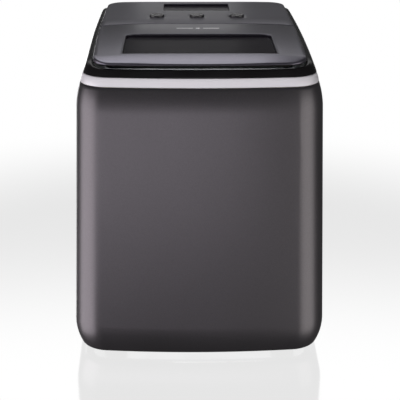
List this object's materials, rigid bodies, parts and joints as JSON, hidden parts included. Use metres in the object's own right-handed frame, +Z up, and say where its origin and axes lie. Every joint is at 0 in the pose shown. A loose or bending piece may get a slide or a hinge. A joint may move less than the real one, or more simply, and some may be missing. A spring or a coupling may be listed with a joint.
{
  "type": "countertop ice maker",
  "caption": "Countertop ice maker with a rounded cabinet, a hinged windowed lid, push buttons, a tilting freezing tray, an ice basket and a compressor circuit.",
  "frame": {"origin": "on the table, centred under the cabinet", "axes": "+X the machine's right seen from the front, +Y its back, +Z up"},
  "size_m": [0.2612, 0.35, 0.3172],
  "materials": {
    "cabinet_paint": "satin gunmetal paint on plastic",
    "trim_silver": "pale satin silver",
    "frame_black": "gloss black",
    "lid_metallic": "satin dark metallic",
    "smoked_clear": "smoked transparent plastic",
    "button_gloss": "gloss",
    "mark_silver": "printed silver",
    "inner_plastic": "pale moulded plastic",
    "black_plastic": "black moulded plastic",
    "grey_plastic": "grey moulded plastic",
    "foam": "foam",
    "galvanised": "galvanised",
    "steel_screws": "zinc plated",
    "rubber_black": "matte",
    "hose_clear": "soft silicone",
    "compressor_black": "black enamel",
    "copper": "copper",
    "fin_aluminium": "mill",
    "valve_brass": "brass",
    "nickel": "nickel plated",
    "board_green": "circuit board"
  },
  "bodies": {
    "cabinet": {"base_plate": "galvanised", "body_shell": "cabinet_paint", "button_switches": "black_plastic", "capillary_tube": "copper", "compressor": "compressor_black", "compressor_bolts": "steel_screws", "compressor_grommets": "rubber_black", "condenser_fins": "fin_aluminium", "condenser_tube": "copper", "control_board": "board_green", "control_panel": "lid_metallic", "cover_screws": "steel_screws", "discharge_pipe": "copper", "display_lens": "smoked_clear", "display_module": "black_plastic", "drain_hose": "hose_clear", "drain_outlet": "black_plastic", "evaporator": "nickel", "evaporator_hanger": "inner_plastic", "fan_motor": "galvanised", "fan_shroud": "black_plastic", "filter_drier": "copper", "foot_screws": "steel_screws", "freezing_fingers": "nickel", "hinge_brackets": "black_plastic", "hot_gas_pipe": "copper", "hot_gas_valve": "valve_brass", "ice_level_sensors": "black_plastic", "inlet_pins": "valve_brass", "inner_liner": "inner_plastic", "liner_insulation": "foam", "liquid_pipe": "copper", "power_board": "board_green", "power_inlet": "black_plastic", "rear_cover": "black_plastic", "rubber_feet": "rubber_black", "suction_pipe": "copper", "top_frame": "frame_black", "tray_motor": "grey_plastic", "trim_band": "trim_silver", "water_hose": "hose_clear", "water_level_sensor": "black_plastic", "water_pump": "grey_plastic"},
    "lid": {"lid_shell": "lid_metallic", "lid_window": "smoked_clear", "lid_inner_frame": "black_plastic", "lid_seal": "rubber_black", "lid_badge": "mark_silver", "hinge_pins": "steel_screws"},
    "tray": {"water_tray": "grey_plastic", "tray_shafts": "steel_screws", "ice_shovel": "grey_plastic"},
    "basket": {"ice_basket": "inner_plastic"},
    "fan": {"fan_rotor": "black_plastic"},
    "impeller": {"pump_impeller": "grey_plastic"},
    "plug": {"drain_plug": "grey_plastic", "drain_seal": "rubber_black"},
    "power_button": {"power_button": "button_gloss"},
    "select_button": {"select_button": "button_gloss"},
    "clean_button": {"clean_button": "button_gloss"}
  },
  "joints": [
    {"name": "lid_hinge", "type": "hinge", "parent": "cabinet", "child": "lid", "pos_m": [0, 0.0125, 0.308], "axis": [-1, 0, 0], "range_deg": [0, 75]},
    {"name": "power_button_press", "type": "slide", "parent": "cabinet", "child": "power_button", "axis": [0, 0, -1], "range_m": [0, 0.0012], "stiffness_N_per_m": 900, "springref_m": -0.0006},
    {"name": "select_button_press", "type": "slide", "parent": "cabinet", "child": "select_button", "axis": [0, 0, -1], "range_m": [0, 0.0012], "stiffness_N_per_m": 900, "springref_m": -0.0006},
    {"name": "clean_button_press", "type": "slide", "parent": "cabinet", "child": "clean_button", "axis": [0, 0, -1], "range_m": [0, 0.0012], "stiffness_N_per_m": 900, "springref_m": -0.0006},
    {"name": "tray_tilt", "type": "hinge", "parent": "cabinet", "child": "tray", "pos_m": [0, -0.026, 0.228], "axis": [-1, 0, 0], "range_deg": [0, 40]},
    {"name": "basket_lift", "type": "slide", "parent": "cabinet", "child": "basket", "axis": [0, 0, 1], "range_m": [0, 0.045]},
    {"name": "fan_spin", "type": "hinge", "parent": "cabinet", "child": "fan", "pos_m": [0.05, 0.155, 0.095], "axis": [0, 1, 0], "continuous": true},
    {"name": "impeller_spin", "type": "hinge", "parent": "cabinet", "child": "impeller", "pos_m": [0.066, -0.014, 0.13], "axis": [0, 0, 1], "continuous": true},
    {"name": "plug_pull", "type": "slide", "parent": "cabinet", "child": "plug", "axis": [0, 1, 0], "range_m": [0, 0.03]}
  ]
}
